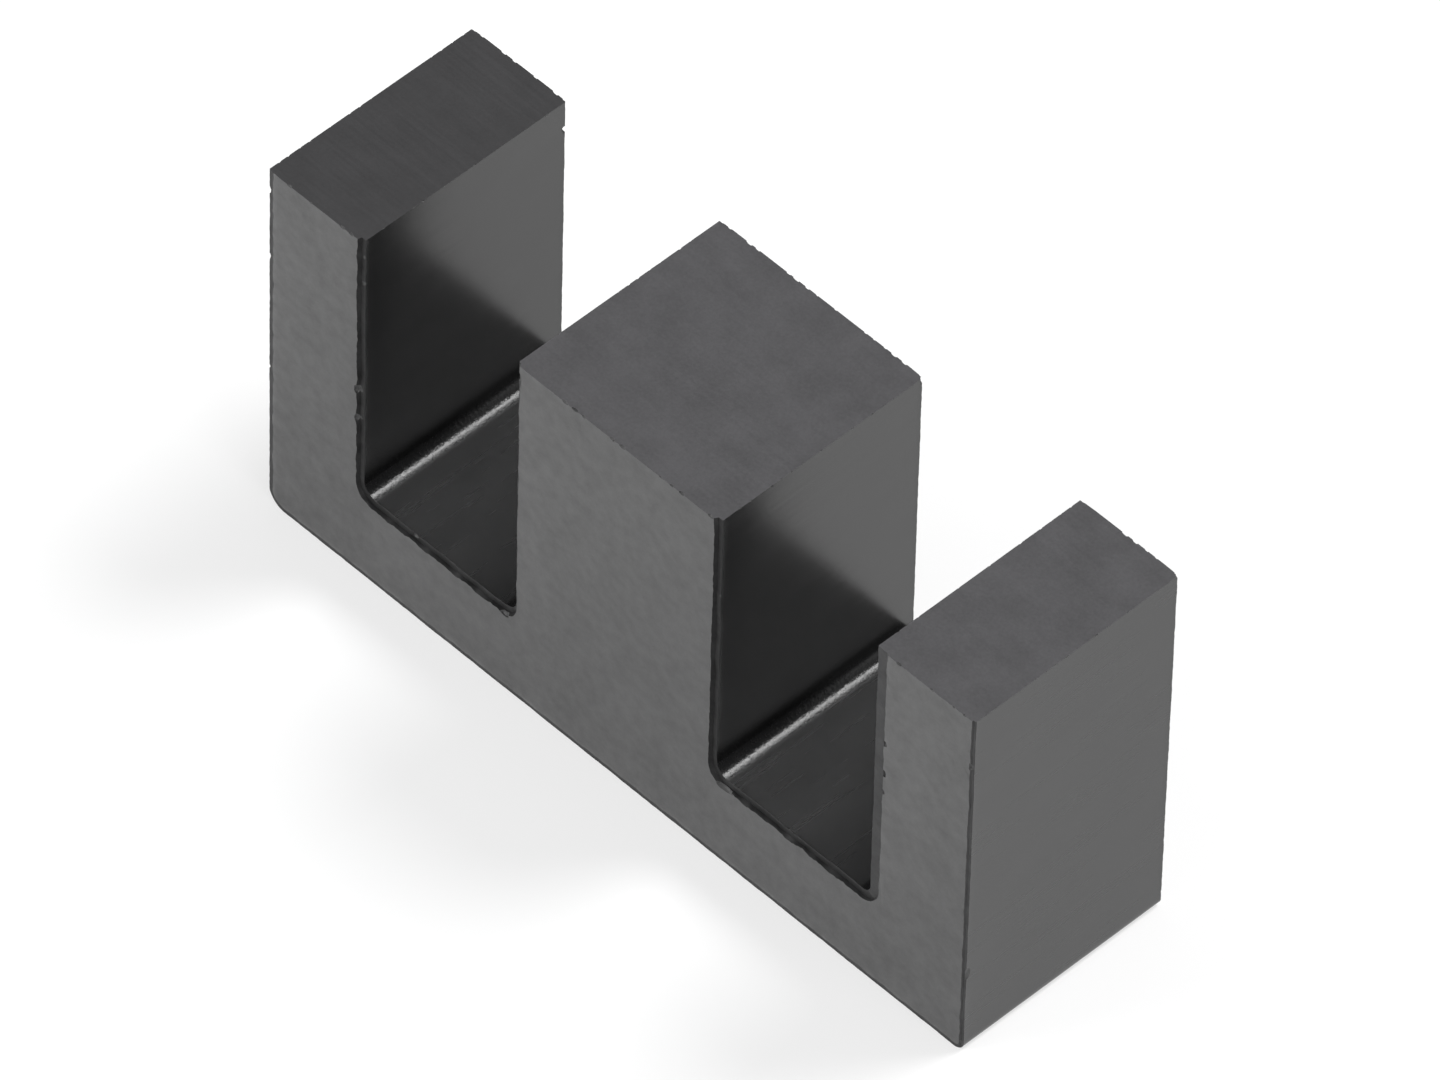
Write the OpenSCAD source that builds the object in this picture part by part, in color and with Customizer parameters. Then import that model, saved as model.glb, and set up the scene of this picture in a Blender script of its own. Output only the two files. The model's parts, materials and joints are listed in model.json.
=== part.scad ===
// Ferrite E core half, pressed and sintered in one piece, with ground leg ends.
// It stands on the back of its yoke: +X along its length, +Y through its thickness,
// +Z along its legs. The origin is at the middle of the yoke's back.

/* [Core] */
// Overall length, across the outside of the two outer legs
core_length = 25; // [21:0.1:31]
// Overall height, from the yoke's back to the ground leg ends
core_height = 12.4; // [10.2:0.1:16]
// Thickness, the same for the yoke and all three legs
core_thickness = 7; // [4:0.1:12]

/* [Winding windows] */
// Distance between the inner faces of the two outer legs
leg_span = 18.2; // [14:0.1:20.5]
// Width of the centre leg
centre_leg_w = 7.2; // [5:0.1:9]
// Depth of both windows, from the leg ends down to the yoke
window_depth = 9.4; // [6:0.1:10]
// Radius at the foot of each window wall
root_r = 0.4; // [0.2:0.05:1]

/* [Pressed edges] */
// Radius of the yoke's two outer corners
yoke_r = 0.5; // [0.35:0.05:1.5]
// Width of the flat rim that the punch leaves next to every wall
rim_w = 0.08; // [0.02:0.01:0.12]
// Width of the bevel that climbs from the rim to the face
bevel_w = 0.12; // [0.05:0.01:0.14]
// Depth of the rim below the face
rim_depth = 0.1; // [0.05:0.01:0.3]

/* [Hidden] */
$fn = 64;

// the windows lie between the centre leg and the outer legs
window_w = (leg_span - centre_leg_w) / 2;
window_x = (leg_span + centre_leg_w) / 4;
yoke_h = core_height - window_depth;

// how far a cutter runs past the surface that it opens
over = 0.04;

ferrite_grey = [0.36, 0.36, 0.37];

// Section of the rim and bevel: x is the distance in from the wall, y is up from the face.
// The bevel's slope is carried on past the face, so the cut opens it cleanly.
rim_section = [
    [-over, -rim_depth],
    [rim_w, -rim_depth],
    [rim_w + bevel_w * (1 + over / rim_depth), over],
    [-over, over]
];

// Outline of a trough: w wide and h deep, open at the top, with both lower corners round.
// Its floor lies on the X axis.
module trough(w, h, r) {
    translate([-w / 2, r]) square([w, h - r]);
    translate([-w / 2 + r, 0]) square([w - 2 * r, r]);
    for (side = [-1, 1]) translate([side * (w / 2 - r), r]) circle(r);
}

// One straight stretch of rim, centred on the origin along Y, its wall at x = 0.
// into is 1 where the core lies on the +X side of the wall, and -1 on the other side.
module rim_run(len, into) {
    rotate([90, 0, 0])
        linear_extrude(len, center = true)
            polygon([for (p = rim_section) [into * p.x, p.y]]);
}

// One quarter turn of rim round the Z axis, from -Y to +X, its wall at radius r.
module rim_bend(r, into) {
    rotate([0, 0, -90])
        rotate_extrude(angle = 90)
            polygon([for (p = rim_section) [r + into * p.x, p.y]]);
}

// The whole rim that the punch leaves along a trough, on the face at z = 0.
// into is 1 where the core lies outside the trough, and -1 where it lies inside.
module trough_rim(w, h, r, into) {
    for (side = [0, 1]) mirror([side, 0, 0]) {
        translate([w / 2, (h + r + over) / 2, 0]) rim_run(h - r + over, into);
        translate([w / 2 - r, r, 0]) rim_bend(r, into);
    }
    rotate([0, 0, -90]) rim_run(w - 2 * r, into);
}

// Rims of the outside and of both windows, on one face
module face_rims() {
    trough_rim(core_length, core_height, yoke_r, -1);
    for (side = [-1, 1])
        translate([side * window_x, yoke_h, 0])
            trough_rim(window_w, window_depth, root_r, 1);
}

// The E outline, legs towards +Y
module e_outline() {
    difference() {
        trough(core_length, core_height, yoke_r);
        for (side = [-1, 1])
            translate([side * window_x, yoke_h])
                trough(window_w, window_depth + over, root_r);
    }
}

// The core as it leaves the die, lying on its face, then stood on its yoke.
// The leg ends are ground square, so they keep sharp edges.
module e_core() {
    color(ferrite_grey)
        rotate([90, 0, 0])
            difference() {
                linear_extrude(core_thickness, center = true) e_outline();
                for (face = [0, 1])
                    mirror([0, 0, face])
                        translate([0, 0, core_thickness / 2])
                            face_rims();
            }
}

e_core();
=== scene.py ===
import json
import math
import random

import bmesh
import bpy
from mathutils import Matrix, Vector, noise


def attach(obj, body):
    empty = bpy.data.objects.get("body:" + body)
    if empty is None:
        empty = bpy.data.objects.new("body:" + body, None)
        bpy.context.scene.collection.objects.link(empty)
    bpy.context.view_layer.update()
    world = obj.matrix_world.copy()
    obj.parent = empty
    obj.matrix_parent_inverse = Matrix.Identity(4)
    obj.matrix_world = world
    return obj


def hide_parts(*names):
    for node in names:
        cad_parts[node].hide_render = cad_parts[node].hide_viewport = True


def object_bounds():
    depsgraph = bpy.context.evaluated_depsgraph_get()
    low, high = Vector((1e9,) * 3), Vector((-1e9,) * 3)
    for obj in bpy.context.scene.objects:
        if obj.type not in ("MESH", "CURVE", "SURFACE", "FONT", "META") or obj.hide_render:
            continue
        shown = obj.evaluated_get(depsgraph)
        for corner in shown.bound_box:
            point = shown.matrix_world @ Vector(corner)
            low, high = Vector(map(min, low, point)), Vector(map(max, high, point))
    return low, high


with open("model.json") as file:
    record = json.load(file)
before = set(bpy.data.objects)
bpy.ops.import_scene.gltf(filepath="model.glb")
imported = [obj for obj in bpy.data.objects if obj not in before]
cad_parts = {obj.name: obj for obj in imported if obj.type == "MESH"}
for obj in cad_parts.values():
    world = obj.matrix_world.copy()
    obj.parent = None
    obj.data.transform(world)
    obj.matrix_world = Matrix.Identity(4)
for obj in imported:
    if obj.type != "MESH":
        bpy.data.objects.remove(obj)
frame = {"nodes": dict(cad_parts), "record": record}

mm = 0.001
cadLow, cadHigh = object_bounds()
scene = bpy.context.scene
print("frame loaded")


shot = {
    "azimuth": 44.8,                      # degrees round from the front
    "elevation": 48.5,                    # degrees above the table
    "roll": 1.5,
    "lens": 500.0,                        # a long lens keeps the core's edges nearly parallel
    "distance": 0.497,
    "aim": (0.00011, 0.00005, 0.00616),
}


def placeCamera():
    azimuth = math.radians(shot["azimuth"])
    elevation = math.radians(shot["elevation"])
    roll = math.radians(shot["roll"])
    back = Vector((
        math.sin(azimuth) * math.cos(elevation),
        -math.cos(azimuth) * math.cos(elevation),
        math.sin(elevation),
    ))
    level = Vector((0, 0, 1)).cross(back).normalized()
    upright = back.cross(level)
    right = level * math.cos(roll) + upright * math.sin(roll)
    up = back.cross(right)
    lens = bpy.data.cameras.new("camera")
    lens.lens = shot["lens"]
    camera = bpy.data.objects.new("camera", lens)
    scene.collection.objects.link(camera)
    turn = Matrix((right, up, back)).transposed().to_4x4()
    camera.matrix_world = Matrix.Translation(Vector(shot["aim"]) + back * shot["distance"]) @ turn
    scene.camera = camera


placeCamera()
print("camera placed")


def feel(cad, start, direction):
    # the place on the CAD solid that a straight probe touches first
    return cad.ray_cast(start, Vector(direction))[1]


cadCore = frame["nodes"]["e_core"]
windows = []
for opening in frame["record"]["physics"]["openings"]:
    low, high = (Vector(corner) for corner in opening["box_m"])
    middle = (low + high) / 2
    windows.append({
        "left": feel(cadCore, middle, (-1, 0, 0)).x,
        "right": feel(cadCore, middle, (1, 0, 0)).x,
        "floor": feel(cadCore, middle, (0, 0, -1)).z,
    })
leftWindow, rightWindow = sorted(windows, key=lambda w: w["left"])
floorLevel = leftWindow["floor"]
halfThick = cadHigh.y
walls = (
    cadLow.x, leftWindow["left"], leftWindow["right"],
    rightWindow["left"], rightWindow["right"], cadHigh.x,
)
print("walls in mm:", [round(w / mm, 2) for w in walls], "floor", round(floorLevel / mm, 2))


core = {                                  # millimetres
    "spacing": 0.08,                      # between points along the pressed walls
    "bendSpacing": 0.8,                   # the same in a bend, as a share of the spacing
    "wallRows": 18,                       # across the thickness, between the two rims
    "edgeWear": 0.012,
    "wearLength": 0.15,
    "raggedLength": 0.5,
    "crumble": 0.5,                       # finer nibbling on the same edge, as a share
    "crumbleLength": 0.12,
    "footStray": 0.3,                     # how far the foot of the step strays, as a share
    "footLength": 0.3,
    "depthChange": 0.25,                  # how much a rim's depth changes along it, as a share
    "depthLength": 0.7,
    "leastLand": 0.03,                    # keeps a rim's lines in order where they stray together
    "leastShelf": 0.015,
    "leastStep": 0.012,
    "wallWave": 0.0025,
    "waveLength": 0.9,
    "cell": 0.6,                          # size of the squares that a flat face is cut into
    "nearEdge": (0.12, 0.3),              # cuts this far in from a rim
    "keepClear": 0.75,                    # no plain cut comes closer to a wall than this
    "rimWidth": 0.2,
    "wideRim": 0.42,                      # the right leg's rim towards its window
    "depthCuts": (-0.94, -0.8, -0.6, -0.4, -0.2, 0, 0.2, 0.4, 0.6, 0.8, 0.94),
    "roll": 0.012,                        # the pressed faces drop a little towards their rims
    "rollWidth": 0.4,
    "smoothAngle": 32,
}

# the punches leave a sunk rim along each wall: its width, its depth, the width of its step,
# and how far the face's edge strays, for left, floor and right
rims = {
    "outerFront": ((0.16, 0.03, 0.05, 0.04), (0.17, 0.03, 0.06, 0.04), (0.11, 0.05, 0.03, 0.03)),
    "outerBack": ((0.15, 0.03, 0.05, 0.04), (0.17, 0.03, 0.06, 0.04), (0.16, 0.03, 0.05, 0.04)),
    "leftFront": ((0.20, 0.12, 0.04, 0.05), (0.21, 0.12, 0.03, 0.09), (0.13, 0.11, 0.05, 0.04)),
    "leftBack": ((0.16, 0.03, 0.06, 0.05), (0.16, 0.05, 0.06, 0.05), (0.16, 0.03, 0.06, 0.05)),
    "rightFront": ((0.19, 0.12, 0.04, 0.04), (0.20, 0.12, 0.03, 0.09), (0.36, 0.06, 0.04, 0.04)),
    "rightBack": ((0.16, 0.03, 0.06, 0.05), (0.16, 0.05, 0.06, 0.05), (0.16, 0.03, 0.06, 0.05)),
}

# into is 1 where the core lies outside the trough, and -1 where it lies inside
outside = {"left": cadLow.x, "right": cadHigh.x, "floor": cadLow.z}
troughs = {
    "outer": {**outside, "corners": (0.58, 0.27), "into": -1, "seed": 0},
    "left": {**leftWindow, "corners": (0.38, 0.4), "into": 1, "seed": 40},
    "right": {**rightWindow, "corners": (0.38, 0.4), "into": 1, "seed": 80},
}

dieWall, rim, pressedFace, groundEnd, chipped, windowWallPaintedShade, windowRimPaintedShade, rootFillet = range(8)


def walkTrough(trough):
    # down the left wall, along the floor and up the right wall:
    # place, direction out of the trough, and how far the point belongs to left, floor and right
    radiusLeft, radiusRight = (r * mm for r in trough["corners"])
    left, right, floor, top = trough["left"], trough["right"], trough["floor"], cadHigh.z
    spacing = core["spacing"] * mm
    points = []

    def straight(start, end, out, share, lastToo):
        count = max(2, round((end - start).length / spacing))
        for i in range(count + lastToo):
            points.append((start.lerp(end, i / count), out, share))

    def bend(centre, radius, startAngle, shareStart, shareEnd):
        count = max(5, round(radius * math.pi / 2 / (core["bendSpacing"] * spacing)))
        for i in range(count):
            t = i / count
            angle = startAngle + t * math.pi / 2
            out = Vector((math.cos(angle), 0, math.sin(angle)))
            share = tuple(a + (b - a) * t for a, b in zip(shareStart, shareEnd))
            points.append((centre + out * radius, out, share))

    leftCentre = Vector((left + radiusLeft, 0, floor + radiusLeft))
    rightCentre = Vector((right - radiusRight, 0, floor + radiusRight))
    straight(Vector((left, 0, top)), Vector((left, 0, leftCentre.z)), Vector((-1, 0, 0)), (1, 0, 0), 0)
    bend(leftCentre, radiusLeft, math.pi, (1, 0, 0), (0, 1, 0))
    straight(
        Vector((leftCentre.x, 0, floor)), Vector((rightCentre.x, 0, floor)),
        Vector((0, 0, -1)), (0, 1, 0), 0,
    )
    bend(rightCentre, radiusRight, 1.5 * math.pi, (0, 1, 0), (0, 0, 1))
    straight(Vector((right, 0, rightCentre.z)), Vector((right, 0, top)), Vector((1, 0, 0)), (0, 0, 1), 1)
    return points


def rimSection(place, share, sizes, seed):
    # inset from the wall and drop below the face, from the face's edge to the wall's
    width, drop, step, ragged = (sum(w * sizes[i][k] for i, w in enumerate(share)) for k in range(4))
    at = Vector((place.x / mm, seed, place.z / mm))
    stray = noise.noise(at / core["raggedLength"]) * ragged
    stray += noise.noise(at / core["crumbleLength"] + Vector((7, 0, 3))) * core["crumble"] * ragged
    foot = noise.noise(at / core["footLength"] + Vector((0, 5, 0))) * core["footStray"] * ragged
    drop *= 1 + core["depthChange"] * noise.noise(at / core["depthLength"] + Vector((3, 1, 9)))
    wear = core["edgeWear"] * (1.3 + noise.noise(at / core["wearLength"] + Vector((1, 8, 2))))
    land = max(width + stray, wear + core["leastLand"])
    shelf = min(max(width - step + foot, wear + core["leastShelf"]), land - core["leastStep"])
    return [
        (land, core["roll"]),
        (land - 0.35 * (land - shelf), core["roll"] + 0.3 * (drop - core["roll"])),
        (shelf, drop),
        (0.5 * (shelf + wear), drop * (1 + 0.08 * noise.noise(at / 0.1))),
        (wear, drop),
        (0, drop + wear),
    ]


def wallFinish(name, share):
    # finishes of a pressed wall and of the rim beside it
    if name == "outer":
        return dieWall, rim
    # rims beside a window's left wall and floor take a darker painted-shade copy of the rim; beside its
    # right wall they keep the rim's colour
    sunk = rim if share[2] > 0.5 else windowRimPaintedShade
    if max(share) < 1:
        return rootFillet, sunk
    # the side walls inside a window take a darker painted-shade copy of the die wall
    return (dieWall if share[1] == 1 else windowWallPaintedShade), sunk


def strip(bm, name, points):
    # one pressed wall surface with the rims of both faces, as rows of points from front to back
    trough = troughs[name]
    seed = trough["seed"]
    rows = []
    for place, out, share in points:
        into = out * trough["into"]
        front = rimSection(place, share, rims[name + "Front"], seed + 1)
        back = rimSection(place, share, rims[name + "Back"], seed + 2)
        section = [(inset, -halfThick + drop * mm) for inset, drop in front]
        start, end = section[-1][1], halfThick - back[-1][1] * mm
        for k in range(1, core["wallRows"]):
            t = 0.5 - 0.5 * math.cos(math.pi * k / core["wallRows"])
            y = start + (end - start) * t
            wave = noise.noise(Vector((place.x, y, place.z)) / (core["waveLength"] * mm)) * core["wallWave"]
            section.append((core["wallWave"] + wave, y))
        section += [(inset, halfThick - drop * mm) for inset, drop in reversed(back)]
        rows.append([bm.verts.new(place + into * (inset * mm) + Vector((0, y, 0))) for inset, y in section])
    rimFaces = len(front) - 1
    for near, far, point in zip(rows, rows[1:], points):
        last = len(near) - 1
        wallKind, rimKind = wallFinish(name, point[2])
        for j in range(last):
            face = bm.faces.new((near[j], near[j + 1], far[j + 1], far[j]))
            face.material_index = rimKind if j < rimFaces or j >= last - rimFaces else wallKind
            face.smooth = True
    return rows


def closeFaces(bm, outer, left, right):
    # the two E-shaped faces and the three ground leg ends
    for j in (0, -1):
        loop = [row[j] for row in outer]
        loop += [row[j] for row in reversed(right)]
        loop += [row[j] for row in reversed(left)]
        bm.faces.new(loop).material_index = pressedFace
    for first, second in ((outer[0], left[0]), (left[-1], right[0]), (right[-1], outer[-1])):
        bm.faces.new(first + second[::-1]).material_index = groundEnd


def flatFaces(bm):
    return [f for f in bm.faces if f.material_index in (pressedFace, groundEnd)]


def evenCuts(low, high, keepClear):
    # places one cell apart, except close to a wall
    count = int((high - low) / (core["cell"] * mm))
    places = [low + (high - low) * i / count for i in range(1, count)]
    return [p for p in places if min(abs(p - k) for k in keepClear) > core["keepClear"] * mm]


def cutInCells(bm):
    # cuts the big flat faces into squares, closer together near their edges
    columns = evenCuts(cadLow.x, cadHigh.x, walls)
    for i, wall in enumerate(walls):
        side = -1 if i % 2 else 1
        rimWidth = core["wideRim"] if i == 4 else core["rimWidth"]
        columns += [wall + side * (rimWidth + d) * mm for d in core["nearEdge"]]
    levels = evenCuts(cadLow.z, cadHigh.z, (cadLow.z, floorLevel, cadHigh.z))
    for d in core["nearEdge"]:
        inward = (core["rimWidth"] + d) * mm
        levels += [cadLow.z + inward, floorLevel - inward, cadHigh.z - d * mm]
    depths = [halfThick * t for t in core["depthCuts"]]
    cuts = [(Vector((x, 0, 0)), Vector((1, 0, 0))) for x in columns]
    cuts += [(Vector((0, 0, z)), Vector((0, 0, 1))) for z in levels]
    cuts += [(Vector((0, y, 0)), Vector((0, 1, 0))) for y in depths]
    for place, direction in cuts:
        faces = flatFaces(bm)
        edges = list({e for f in faces for e in f.edges})
        verts = list({v for f in faces for v in f.verts})
        bmesh.ops.bisect_plane(
            bm, geom=verts + edges + faces, dist=1e-7, plane_co=place, plane_no=direction,
        )


def rollEdges(bm):
    # lets the pressed faces fall away a little near their rims
    for v in bm.verts:
        kinds = {f.material_index for f in v.link_faces}
        if kinds != {pressedFace} and kinds != {pressedFace, groundEnd}:
            continue
        x, z = v.co.x, v.co.z
        gaps = [x - cadLow.x, cadHigh.x - x, z - cadLow.z]
        if z > floorLevel - mm:
            gaps += [abs(x - w) for w in walls]
        inWindow = walls[1] < x < walls[2] or walls[3] < x < walls[4]
        if inWindow:
            gaps = [floorLevel - z, z - cadLow.z]
        near = min(gaps) / mm - core["rimWidth"]
        fall = core["roll"] * max(0, 1 - near / core["rollWidth"]) ** 2
        side = -1 if v.co.y < 0 else 1
        v.co.y = side * (halfThick - fall * mm)


def buildCore():
    bm = bmesh.new()
    outer = strip(bm, "outer", walkTrough(troughs["outer"]))
    left = strip(bm, "left", walkTrough(troughs["left"]))
    right = strip(bm, "right", walkTrough(troughs["right"]))
    closeFaces(bm, outer, left, right)
    cutInCells(bm)
    rollEdges(bm)
    bmesh.ops.recalc_face_normals(bm, faces=bm.faces)
    mesh = bpy.data.meshes.new("ferrite_half")
    bm.to_mesh(mesh)
    bm.free()
    piece = bpy.data.objects.new("ferrite_half", mesh)
    scene.collection.objects.link(piece)
    print("core built:", len(mesh.vertices), "points,", len(mesh.polygons), "faces")
    return piece


chips = {                                 # place and half size in millimetres, lean in degrees
    "leftLegStep": ((-9.16, -3.52, 11.72), (0.13, 0.16, 0.17), 10),
    "leftLegNick": ((-9.14, -3.50, 10.80), (0.12, 0.15, 0.12), 0),
    "leftLegBite": ((-9.24, -3.52, 6.83), (0.15, 0.15, 0.18), 5),
    "leftLegBiteLow": ((-9.22, -3.52, 5.75), (0.15, 0.15, 0.17), -8),
    "leftSideHigh": ((-12.50, -3.44, 11.65), (0.07, 0.13, 0.15), 0),
    "leftSideMiddle": ((-12.51, -3.44, 9.19), (0.07, 0.12, 0.13), 12),
    "leftSideLow": ((-12.51, -3.46, 5.10), (0.06, 0.10, 0.10), 0),
    "centreLegNotch": ((-3.56, -3.55, 11.88), (0.20, 0.19, 0.40), 0),
    "centreLegNick": ((3.62, -3.48, 9.60), (0.09, 0.12, 0.11), 0),
    "centreLegHorn": ((3.64, 3.46, 12.32), (0.13, 0.10, 0.13), 20),
    "leftFloorCrumb": ((-7.20, -3.50, 2.96), (0.14, 0.14, 0.09), 0),
    "leftFloorRecess": ((-3.90, -3.54, 2.86), (0.16, 0.16, 0.12), 0),
    "rightRootRecess": ((4.02, -3.56, 2.84), (0.34, 0.16, 0.14), 0),
    "rightLegNickHigh": ((9.47, -3.50, 9.10), (0.09, 0.10, 0.10), 0),
    "rightLegNickMiddle": ((9.48, -3.50, 8.00), (0.08, 0.10, 0.12), 0),
    "rightLegNickLow": ((9.46, -3.50, 7.30), (0.08, 0.10, 0.09), 0),
    "nearCornerNotch": ((12.53, -3.42, 3.00), (0.07, 0.13, 0.24), 6),
    "nearCornerHigh": ((12.42, -3.53, 10.70), (0.09, 0.10, 0.17), 0),
    "farFootNotch": ((12.54, 3.50, 0.54), (0.08, 0.10, 0.10), 0),
    "leftLegBackNotch": ((-9.13, 3.46, 11.40), (0.12, 0.11, 0.13), 0),
    "rightLegFarCorner": ((12.54, 3.54, 12.44), (0.15, 0.16, 0.15), 0),
    "yokeNearCorner": ((12.48, -3.52, 0.30), (0.11, 0.12, 0.10), 0),
}


crumbs = {                                # millimetres
    "spacing": 0.34,
    "stretch": 0.8,                       # how much longer than deep each break is
    "frontSize": (0.025, 0.065),          # on the edges between the leg ends and the pressed faces
    "sideSize": (0.012, 0.03),            # on the edges between the leg ends and the walls
    "clearOfChips": 0.7,
    "share": 0.6,                         # how many of the places are really broken
    "jitter": 0.1,                        # breaks that overlap each other would spoil the cut
    "seed": 11,
    "swell": ((0.28, 1.3), (0.12, 3.1), (0.05, 7.0)),    # height and fineness of a pebble's bumps
    "mostLost": 0.002,                    # a cut that takes more of the core than this has failed
}


def crumbPlaces():
    # small breaks along the edges of the ground leg ends
    dice = random.Random(crumbs["seed"])
    top, deep = cadHigh.z / mm, halfThick / mm
    edges = []
    for low, high in zip(walls[0::2], walls[1::2]):
        low, high = low / mm, high / mm
        edges += [((low, y), (high, y), crumbs["frontSize"]) for y in (-deep, deep)]
        edges += [((x, -deep), (x, deep), crumbs["sideSize"]) for x in (low, high)]
    for start, end, sizes in edges:
        start, end = Vector((*start, top)), Vector((*end, top))
        count = int((end - start).length / crumbs["spacing"])
        along = (end - start).normalized()
        for i in range(1, count):
            place = start.lerp(end, (i + dice.uniform(-crumbs["jitter"], crumbs["jitter"])) / count)
            size = dice.uniform(*sizes)
            broken = dice.random() < crumbs["share"]
            nearest = min((place - Vector(chip[0])).length for chip in chips.values())
            if broken and nearest > crumbs["clearOfChips"]:
                yield place, [size * (1 + crumbs["stretch"] * abs(a)) for a in along]


def lump(bm, place, size, lean, seed, detail=3):
    # a rough pebble that a chip takes its shape from
    made = bmesh.ops.create_icosphere(bm, subdivisions=detail, radius=1)["verts"]
    turn = Matrix.Rotation(math.radians(lean), 3, "Y")
    for v in made:
        swell = 1
        for axis, (height, fineness) in enumerate(crumbs["swell"]):
            offset = Vector((0, 0, 0))
            offset[axis] = seed
            swell += height * noise.noise(v.co * fineness + offset)
        v.co = (Vector(place) + turn @ Vector([c * s * swell for c, s in zip(v.co, size)])) * mm


def volumeOf(mesh):
    bm = bmesh.new()
    bm.from_mesh(mesh)
    volume = bm.calc_volume(signed=True)
    bm.free()
    return volume


def knockChips(piece):
    # cuts every chip and small break out of the core, and stops the script if the cut fails
    before = volumeOf(piece.data)
    bm = bmesh.new()
    for i, (place, size, lean) in enumerate(chips.values()):
        lump(bm, place, size, lean, 3.7 * (i + 1))
    for i, (place, size) in enumerate(crumbPlaces()):
        lump(bm, place, size, 0, 1.9 * (i + 1), 2)
    for face in bm.faces:
        face.material_index = chipped
    mesh = bpy.data.meshes.new("lumps")
    bm.to_mesh(mesh)
    bm.free()
    lumps = bpy.data.objects.new("lumps", mesh)
    scene.collection.objects.link(lumps)
    cut = piece.modifiers.new("chips", "BOOLEAN")
    cut.operation = "DIFFERENCE"
    cut.solver = "EXACT"
    cut.use_self = True
    cut.material_mode = "INDEX"
    cut.object = lumps
    ready = piece.evaluated_get(bpy.context.evaluated_depsgraph_get())
    chippedMesh = bpy.data.meshes.new_from_object(ready)
    piece.modifiers.clear()
    piece.data = chippedMesh
    bpy.data.objects.remove(lumps)
    lost = 1 - volumeOf(chippedMesh) / before
    if not 0 < lost < crumbs["mostLost"]:
        raise RuntimeError("the chips took %.4f of the core, so the cut went wrong" % lost)
    print("share of the core lost to chips: %.6f" % lost)
    print("chips knocked off:", len(chips), "and", len(chippedMesh.polygons), "faces")


# lines: how often the marks repeat per metre along each axis, scoring: how deep they are
finishLooks = {
    "dieWall": {
        "colour": (0.006, 0.006, 0.0062), "rough": (0.24, 0.28), "ior": 1.62, "gloss": 0.47,
        "grain": 0.0010, "lines": (9000, 260, 9000), "scoring": 0.00012,
    },
    "rim": {
        "colour": (0.026, 0.026, 0.0265), "rough": (0.5, 0.65), "ior": 1.6, "gloss": 0.2,
        "grain": 0.0035, "lines": (3000, 3000, 3000), "scoring": 0.0020,
    },
    "pressedFace": {
        "colour": (0.040, 0.040, 0.0405), "rough": (0.36, 0.52), "ior": 1.58, "gloss": 0.5,
        "grain": 0.0008, "lines": (2600, 2600, 2600), "scoring": 0.0003,
    },
    "groundEnd": {
        "colour": (0.046, 0.045, 0.048), "rough": (0.33, 0.39), "ior": 1.6, "gloss": 0.5,
        "grain": 0.0006, "lines": (240, 9000, 240), "scoring": 0.00015,
    },
    "chipped": {
        "colour": (0.036, 0.036, 0.0365), "rough": (0.5, 0.65), "ior": 1.6, "gloss": 0.35,
        "grain": 0.0050, "lines": (6000, 6000, 6000), "scoring": 0.0040,
    },
    # painted shade: the die wall's colour made darker for the side walls inside the windows, where shade
    # falls
    "windowWallPaintedShade": {
        "colour": (0.004, 0.004, 0.0041), "rough": (0.19, 0.23), "ior": 1.62, "gloss": 0.5,
        "grain": 0.0006, "lines": (9000, 260, 9000), "scoring": 0.00012,
    },
    # painted shade: the rim's colour made darker for the rims at a window's left wall and floor
    "windowRimPaintedShade": {
        "colour": (0.012, 0.012, 0.0122), "rough": (0.5, 0.65), "ior": 1.6, "gloss": 0.18,
        "grain": 0.0035, "lines": (5000, 5000, 5000), "scoring": 0.0030,
    },
    "rootFillet": {
        "colour": (0.008, 0.008, 0.0082), "rough": (0.20, 0.30), "ior": 1.6, "gloss": 0.25,
        "grain": 0.0060, "lines": (9000, 9000, 9000), "scoring": 0.0110,
    },
}

# painted shade: the left leg's end is coloured darker than the other two, standing in for the lesser light
# falling on it: its share of their colour, and where that changes
leftLegPaintedShade = {"leftLeg": 0.42, "from": -0.008, "to": -0.005}

texture = {
    "patches": 900,                       # per metre
    "grains": 14000,
    "patchShare": 0.55,
    "grainShare": 0.45,
    "tintFrom": 0.36,
    "tintTo": 0.64,
    "darkest": 0.82,                      # share of the finish's own colour
    "lightest": 1.18,
    "roughFrom": 0.3,
    "roughTo": 0.7,
}


def marks(nodes, links, place, scale, detail):
    # noise at a scale of its own along each axis
    stretch = nodes.new("ShaderNodeMapping")
    stretch.inputs["Scale"].default_value = scale
    links.new(place, stretch.inputs["Vector"])
    speckle = nodes.new("ShaderNodeTexNoise")
    speckle.inputs["Scale"].default_value = 1
    speckle.inputs["Detail"].default_value = detail
    links.new(stretch.outputs["Vector"], speckle.inputs["Vector"])
    return speckle.outputs["Fac"]


def paintLeftLegShade(nodes, links, place, colour):
    # painted shade: scales the colour down over the left leg's end
    split = nodes.new("ShaderNodeSeparateXYZ")
    links.new(place, split.inputs[0])
    along = nodes.new("ShaderNodeMapRange")
    along.inputs["From Min"].default_value = leftLegPaintedShade["from"]
    along.inputs["From Max"].default_value = leftLegPaintedShade["to"]
    along.inputs["To Min"].default_value = leftLegPaintedShade["leftLeg"]
    along.inputs["To Max"].default_value = 1
    links.new(split.outputs["X"], along.inputs["Value"])
    shade = nodes.new("ShaderNodeVectorMath")
    shade.operation = "SCALE"
    links.new(colour, shade.inputs[0])
    links.new(along.outputs["Result"], shade.inputs["Scale"])
    return shade.outputs["Vector"]


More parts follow.
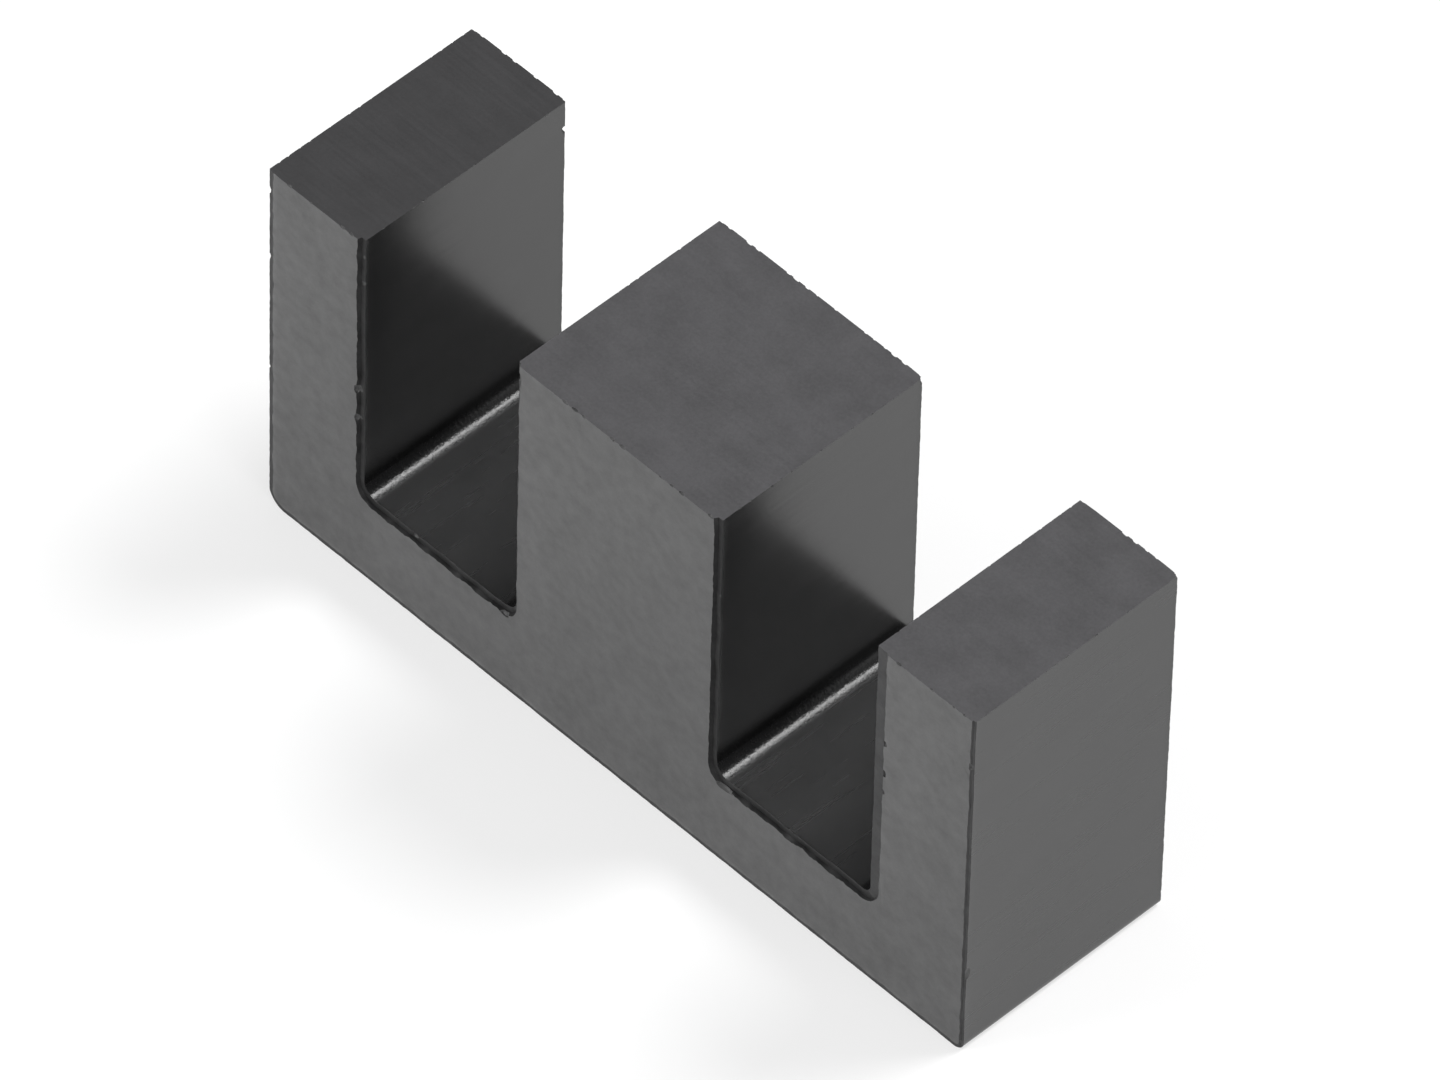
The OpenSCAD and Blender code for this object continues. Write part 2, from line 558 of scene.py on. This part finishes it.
def finish(name):
    look = finishLooks[name]
    material = bpy.data.materials.new(name)
    material.use_nodes = True
    nodes, links = material.node_tree.nodes, material.node_tree.links
    shader = nodes["Principled BSDF"]
    shader.inputs["IOR"].default_value = look["ior"]
    shader.inputs["Specular IOR Level"].default_value = look["gloss"]
    place = nodes.new("ShaderNodeTexCoord").outputs["Object"]
    cloud = marks(nodes, links, place, (texture["patches"],) * 3, 6)
    grain = marks(nodes, links, place, (texture["grains"],) * 3, 4)
    lines = marks(nodes, links, place, look["lines"], 3)

    mottle = nodes.new("ShaderNodeMath")     # cloudy patches with fine grain over them
    mottle.operation = "MULTIPLY_ADD"
    mottle.inputs[1].default_value = texture["grainShare"]
    links.new(grain, mottle.inputs[0])
    patches = nodes.new("ShaderNodeMath")
    patches.operation = "MULTIPLY"
    patches.inputs[1].default_value = texture["patchShare"]
    links.new(cloud, patches.inputs[0])
    links.new(patches.outputs[0], mottle.inputs[2])
    tint = nodes.new("ShaderNodeValToRGB")
    tint.color_ramp.elements[0].position = texture["tintFrom"]
    tint.color_ramp.elements[1].position = texture["tintTo"]
    tint.color_ramp.elements[0].color = [c * texture["darkest"] for c in look["colour"]] + [1]
    tint.color_ramp.elements[1].color = [c * texture["lightest"] for c in look["colour"]] + [1]
    links.new(mottle.outputs[0], tint.inputs["Fac"])
    colour = tint.outputs["Color"]
    # the ground leg ends get painted shade over the left leg
    if name == "groundEnd":
        colour = paintLeftLegShade(nodes, links, place, colour)
    links.new(colour, shader.inputs["Base Color"])

    sheen = nodes.new("ShaderNodeMapRange")
    sheen.inputs["From Min"].default_value = texture["roughFrom"]
    sheen.inputs["From Max"].default_value = texture["roughTo"]
    sheen.inputs["To Min"].default_value = look["rough"][0]
    sheen.inputs["To Max"].default_value = look["rough"][1]
    links.new(lines, sheen.inputs["Value"])
    links.new(sheen.outputs["Result"], shader.inputs["Roughness"])

    normal = None
    for height, depth in ((lines, look["scoring"]), (grain, look["grain"])):
        bump = nodes.new("ShaderNodeBump")
        bump.inputs["Distance"].default_value = depth * mm
        bump.inputs["Strength"].default_value = 1
        links.new(height, bump.inputs["Height"])
        if normal:
            links.new(normal, bump.inputs["Normal"])
        normal = bump.outputs["Normal"]
    links.new(normal, shader.inputs["Normal"])
    return material


half = buildCore()
for name in finishLooks:
    half.data.materials.append(finish(name))
knockChips(half)
half.data.set_sharp_from_angle(angle=math.radians(core["smoothAngle"]))
for polygon in half.data.polygons:
    polygon.use_smooth = True
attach(half, "root")
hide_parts("e_core")
print("finishes done")


studio = {
    "table": (0.82, 0.82, 0.82),
    "tableSize": 3.0,
    "tableRough": 0.9,
    "tableGloss": 0.1,
    "whiten": 0.6,                        # how far the table turns plain white where it is seen
    "horizon": 1.0,                       # the sky's brightness, from low to high
    "zenith": 0.35,
    "skyFrom": 0.05,
    "skyTo": 0.75,
    "lamps": {                            # place, size, watts
        "frontLeft": {"place": (-0.5, -0.6, 0.35), "size": 0.6, "power": 5.0},
        "right": {"place": (0.8, -0.1, 0.35), "size": 0.6, "power": 3.0},
        "overhead": {"place": (0.15, 0.4, 0.75), "size": 0.35, "power": 6.0},
    },
}


def seenDirectly(nodes, links):
    # 1 for what the camera sees and for what shows in reflections
    path = nodes.new("ShaderNodeLightPath")
    first = nodes.new("ShaderNodeMath")
    first.operation = "MAXIMUM"
    second = nodes.new("ShaderNodeMath")
    second.operation = "MAXIMUM"
    links.new(path.outputs["Is Camera Ray"], first.inputs[0])
    links.new(path.outputs["Is Glossy Ray"], first.inputs[1])
    links.new(first.outputs[0], second.inputs[0])
    links.new(path.outputs["Is Transmission Ray"], second.inputs[1])
    return second.outputs[0]


def layTable():
    bpy.ops.mesh.primitive_plane_add(size=studio["tableSize"], location=(0, 0, cadLow.z))
    table = bpy.context.object
    table.name = "table"
    material = bpy.data.materials.new("tableTop")
    material.use_nodes = True
    nodes, links = material.node_tree.nodes, material.node_tree.links
    shader = nodes["Principled BSDF"]
    shader.inputs["Base Color"].default_value = (*studio["table"], 1)
    shader.inputs["Roughness"].default_value = studio["tableRough"]
    shader.inputs["Specular IOR Level"].default_value = studio["tableGloss"]
    glow = nodes.new("ShaderNodeEmission")
    glow.inputs["Strength"].default_value = 1
    mix = nodes.new("ShaderNodeMixShader")
    share = nodes.new("ShaderNodeMath")
    share.operation = "MULTIPLY"
    share.inputs[1].default_value = studio["whiten"]
    links.new(seenDirectly(nodes, links), share.inputs[0])
    links.new(share.outputs[0], mix.inputs["Fac"])
    links.new(shader.outputs["BSDF"], mix.inputs[1])
    links.new(glow.outputs["Emission"], mix.inputs[2])
    links.new(mix.outputs["Shader"], nodes["Material Output"].inputs["Surface"])
    table.data.materials.append(material)


def lightStudio():
    world = bpy.data.worlds.new("studio")
    scene.world = world
    world.use_nodes = True
    nodes, links = world.node_tree.nodes, world.node_tree.links
    place = nodes.new("ShaderNodeTexCoord")
    height = nodes.new("ShaderNodeSeparateXYZ")
    links.new(place.outputs["Generated"], height.inputs[0])
    sky = nodes.new("ShaderNodeValToRGB")
    sky.color_ramp.interpolation = "EASE"
    sky.color_ramp.elements[0].position = studio["skyFrom"]
    sky.color_ramp.elements[1].position = studio["skyTo"]
    sky.color_ramp.elements[0].color = (studio["horizon"],) * 3 + (1,)
    sky.color_ramp.elements[1].color = (studio["zenith"],) * 3 + (1,)
    links.new(height.outputs["Z"], sky.inputs["Fac"])
    links.new(sky.outputs["Color"], nodes["Background"].inputs["Color"])
    for name, lamp in studio["lamps"].items():
        light = bpy.data.lights.new(name, "AREA")
        light.shape = "DISK"
        light.size = lamp["size"]
        light.energy = lamp["power"]
        holder = bpy.data.objects.new(name, light)
        scene.collection.objects.link(holder)
        holder.location = lamp["place"]
        aim = Vector((0, 0, 0.006)) - holder.location
        holder.rotation_euler = aim.to_track_quat("-Z", "Y").to_euler()


layTable()
lightStudio()
scene.view_settings.view_transform = "Standard"
print("studio lit")
